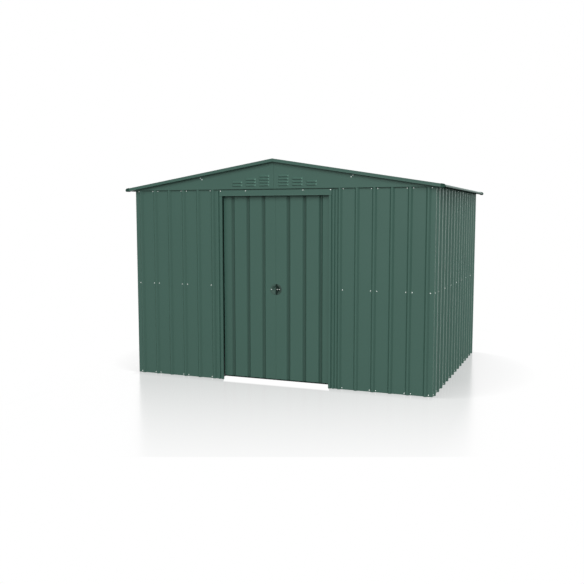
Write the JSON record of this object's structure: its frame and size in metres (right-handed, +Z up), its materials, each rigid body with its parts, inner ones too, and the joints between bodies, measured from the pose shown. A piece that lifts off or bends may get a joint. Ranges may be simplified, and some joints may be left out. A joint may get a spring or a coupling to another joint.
{
  "type": "metal storage shed",
  "caption": "Green ribbed sheet-steel storage shed with a low apex roof, louvred gables and sliding doors hung from a track behind the front wall.",
  "frame": {"origin": "centre of the footprint at ground level", "axes": "+X to the right as seen from the front, +Y from the doors to the rear, +Z up; the doors face -Y"},
  "size_m": [3.214, 2.52, 2.1406],
  "materials": {
    "green_steel": "satin baked paint on ribbed sheet",
    "galvanised_steel": "dull zinc",
    "dark_green_plastic": "moulded",
    "nylon": "natural nylon"
  },
  "bodies": {
    "shed": {"back_barge_left": "green_steel", "back_barge_right": "green_steel", "back_gable_left": "green_steel", "back_gable_right": "green_steel", "back_wall_centre": "green_steel", "back_wall_left": "green_steel", "back_wall_right": "green_steel", "corner_posts": "galvanised_steel", "door_header": "green_steel", "door_jamb_left": "green_steel", "door_jamb_right": "green_steel", "door_track": "galvanised_steel", "eave_trim_left": "green_steel", "eave_trim_right": "green_steel", "floor_frame": "galvanised_steel", "front_barge_left": "green_steel", "front_barge_right": "green_steel", "front_gable_left": "green_steel", "front_gable_right": "green_steel", "front_wall_left": "green_steel", "front_wall_right": "green_steel", "left_wall_front": "green_steel", "left_wall_middle": "green_steel", "left_wall_rear": "green_steel", "mid_rails": "galvanised_steel", "purlins": "galvanised_steel", "ridge_cap": "green_steel", "right_wall_front": "green_steel", "right_wall_middle": "green_steel", "right_wall_rear": "green_steel", "roof_corner_caps": "dark_green_plastic", "roof_left_front": "green_steel", "roof_left_rear": "green_steel", "roof_right_front": "green_steel", "roof_right_rear": "green_steel", "top_rail_front": "green_steel", "top_rails": "galvanised_steel"},
    "left_door": {"door_left": "green_steel", "door_left_handle": "dark_green_plastic", "door_left_hangers": "nylon", "door_left_rails": "green_steel"},
    "right_door": {"door_right": "green_steel", "door_right_handle": "dark_green_plastic", "door_right_hangers": "nylon", "door_right_rails": "green_steel"}
  },
  "joints": [
    {"name": "left_door_slide", "type": "slide", "parent": "shed", "child": "left_door", "axis": [-1, 0, 0], "range_m": [0, 0.47]},
    {"name": "right_door_slide", "type": "slide", "parent": "shed", "child": "right_door", "axis": [1, 0, 0], "range_m": [0, 0.47]}
  ]
}
